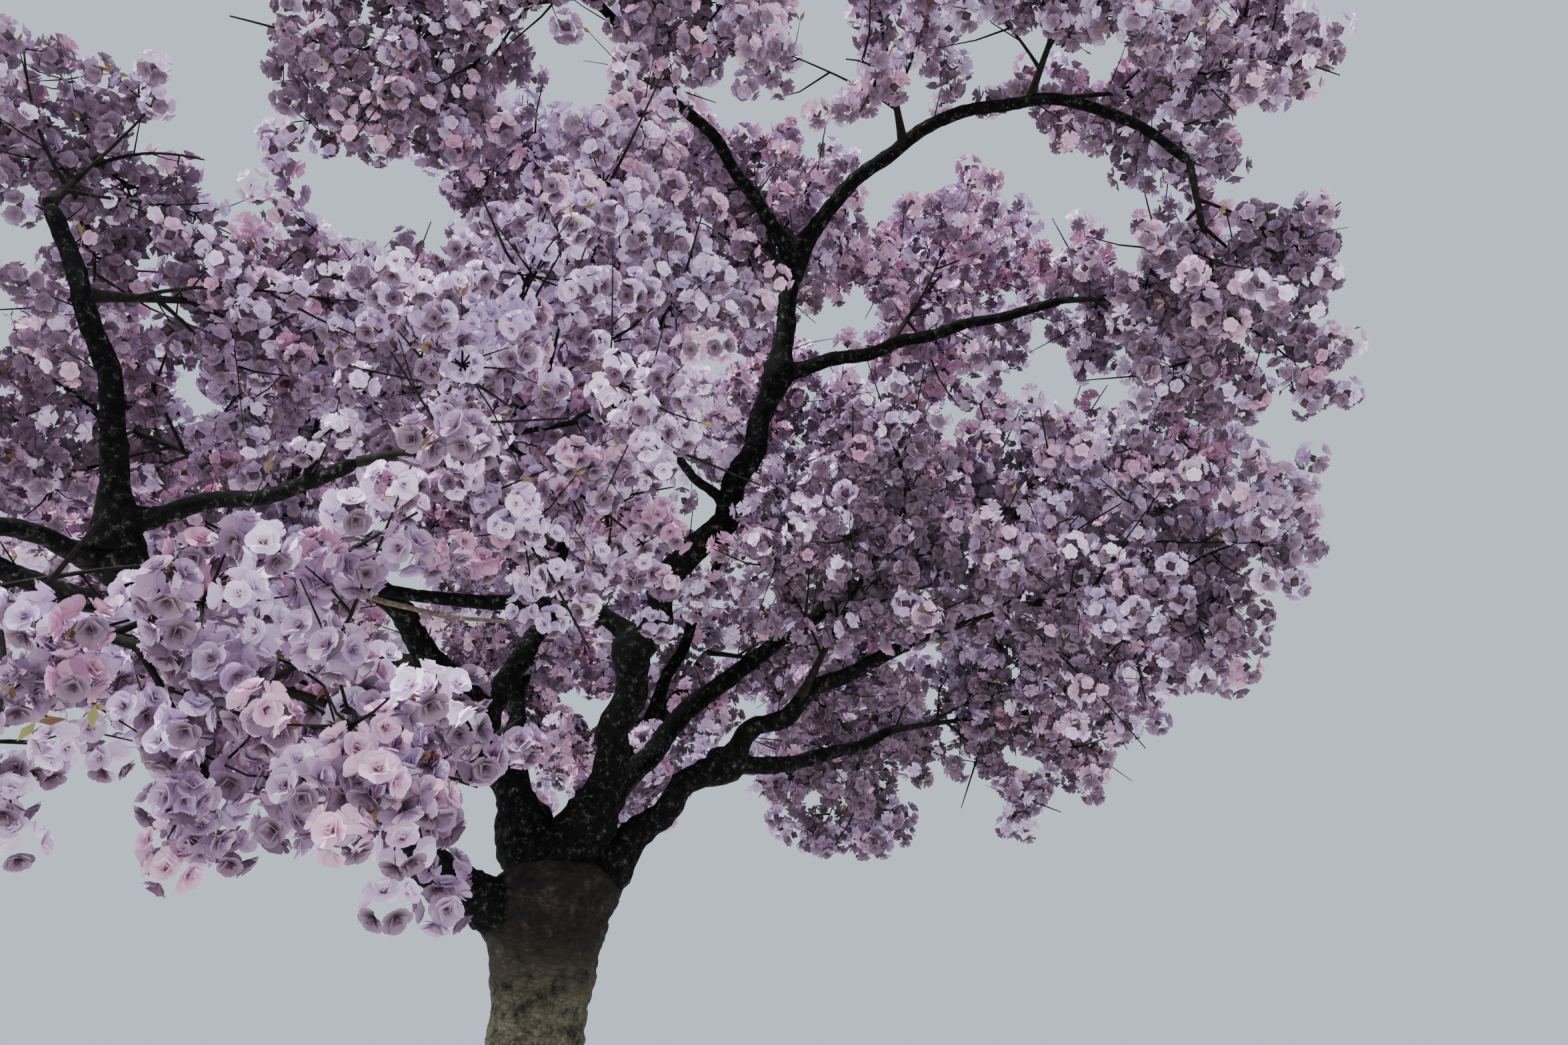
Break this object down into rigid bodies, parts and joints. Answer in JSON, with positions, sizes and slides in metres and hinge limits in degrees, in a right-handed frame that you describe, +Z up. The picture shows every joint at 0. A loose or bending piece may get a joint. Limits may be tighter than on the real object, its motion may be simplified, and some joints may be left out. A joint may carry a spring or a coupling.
{
  "type": "flowering cherry tree",
  "caption": "Grafted flowering cherry in full bloom: short stout trunk, knobbly head, arching boughs and open masses of double pink blossom.",
  "frame": {"origin": "centre of the flat cut under the trunk, at ground level", "axes": "+Z up the trunk, +Y away from the side that the picture shows, +X to the right of that view"},
  "size_m": [7.7684, 7.5766, 6.7538],
  "materials": {
    "stock_bark": "rough, cracked olive-grey bark with moss",
    "limb_bark": "rough near-black bark with grey-green lichen",
    "dead_wood": "bare, weathered grey wood",
    "blossom": "soft matt petals, pale mauve-pink"
  },
  "bodies": {
    "root": {"trunk": "stock_bark", "low_left_bough": "limb_bark", "low_left_upright": "limb_bark", "low_left_outer": "limb_bark", "low_left_inner": "limb_bark", "low_left_near": "limb_bark", "left_bough": "limb_bark", "left_bough_upright": "limb_bark", "left_side_limb": "limb_bark", "leader": "limb_bark", "arched_limb": "limb_bark", "leader_left": "limb_bark", "leader_right": "limb_bark", "leader_front": "limb_bark", "side_limb": "limb_bark", "right_bough": "limb_bark", "right_bough_low": "limb_bark", "right_bough_upright": "limb_bark", "back_left_bough": "limb_bark", "back_left_outer": "limb_bark", "back_right_bough": "limb_bark", "back_right_upright": "limb_bark", "dead_branch": "dead_wood", "left_top": "blossom", "left_crown": "blossom", "left_outer": "blossom", "left_front": "blossom", "front_left": "blossom", "near_right": "blossom", "near_left": "blossom", "left_shoulder": "blossom", "left_dome": "blossom", "dome_left": "blossom", "dome_back_left": "blossom", "left_side": "blossom", "left_side_top": "blossom", "arch_spray": "blossom", "top_left": "blossom", "top_front": "blossom", "right_tip": "blossom", "right_top": "blossom", "crown_front": "blossom", "crown_right": "blossom", "crown_top": "blossom", "crown_left": "blossom", "front_centre": "blossom", "right_upper": "blossom", "right_dome": "blossom", "right_low": "blossom", "right_back_low": "blossom", "back_low": "blossom", "right_side": "blossom", "right_back": "blossom", "back_left": "blossom", "back_top": "blossom", "left_back": "blossom", "back_right": "blossom", "right_middle": "blossom", "dome_back": "blossom", "back_far": "blossom"}
  },
  "joints": []
}
